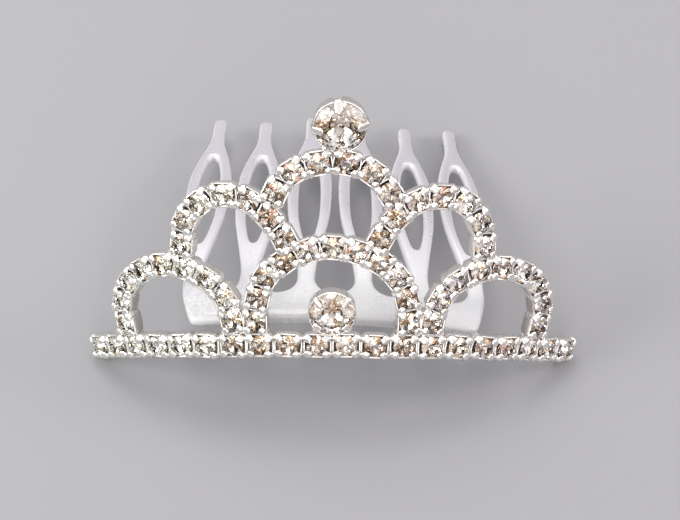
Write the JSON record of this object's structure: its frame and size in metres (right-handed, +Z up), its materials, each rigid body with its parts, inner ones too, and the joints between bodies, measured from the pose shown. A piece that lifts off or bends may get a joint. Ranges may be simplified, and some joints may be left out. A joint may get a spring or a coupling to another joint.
{
  "type": "tiara",
  "caption": "Small tiara of claw-set stones in a bottom row and arches, fixed to a frosted plastic hair comb.",
  "frame": {"origin": "on the surface that it lies on, under the middle of its bounding box", "axes": "+X to the right along the bottom row, +Y from the bottom row to the comb's tips, +Z up"},
  "size_m": [0.0652, 0.0438, 0.0373],
  "materials": {
    "silver_metal": "bright silver plating on stamped and soldered cups",
    "small_stone": "cut glass with a foiled back, with warm grey and champagne flashes",
    "big_stone": "brilliant-cut glass with a foiled back",
    "frosted_plastic": "cloudy clear moulded plastic with a soft gloss"
  },
  "bodies": {
    "root": {"silver_frame": "silver_metal", "base_row_stones": "small_stone", "left_lower_arch_stones": "small_stone", "right_lower_arch_stones": "small_stone", "centre_arch_stones": "small_stone", "left_upper_arch_stones": "small_stone", "right_upper_arch_stones": "small_stone", "top_arch_stones": "small_stone", "upper_big_stone": "big_stone", "lower_big_stone": "big_stone", "comb": "frosted_plastic"}
  },
  "joints": []
}
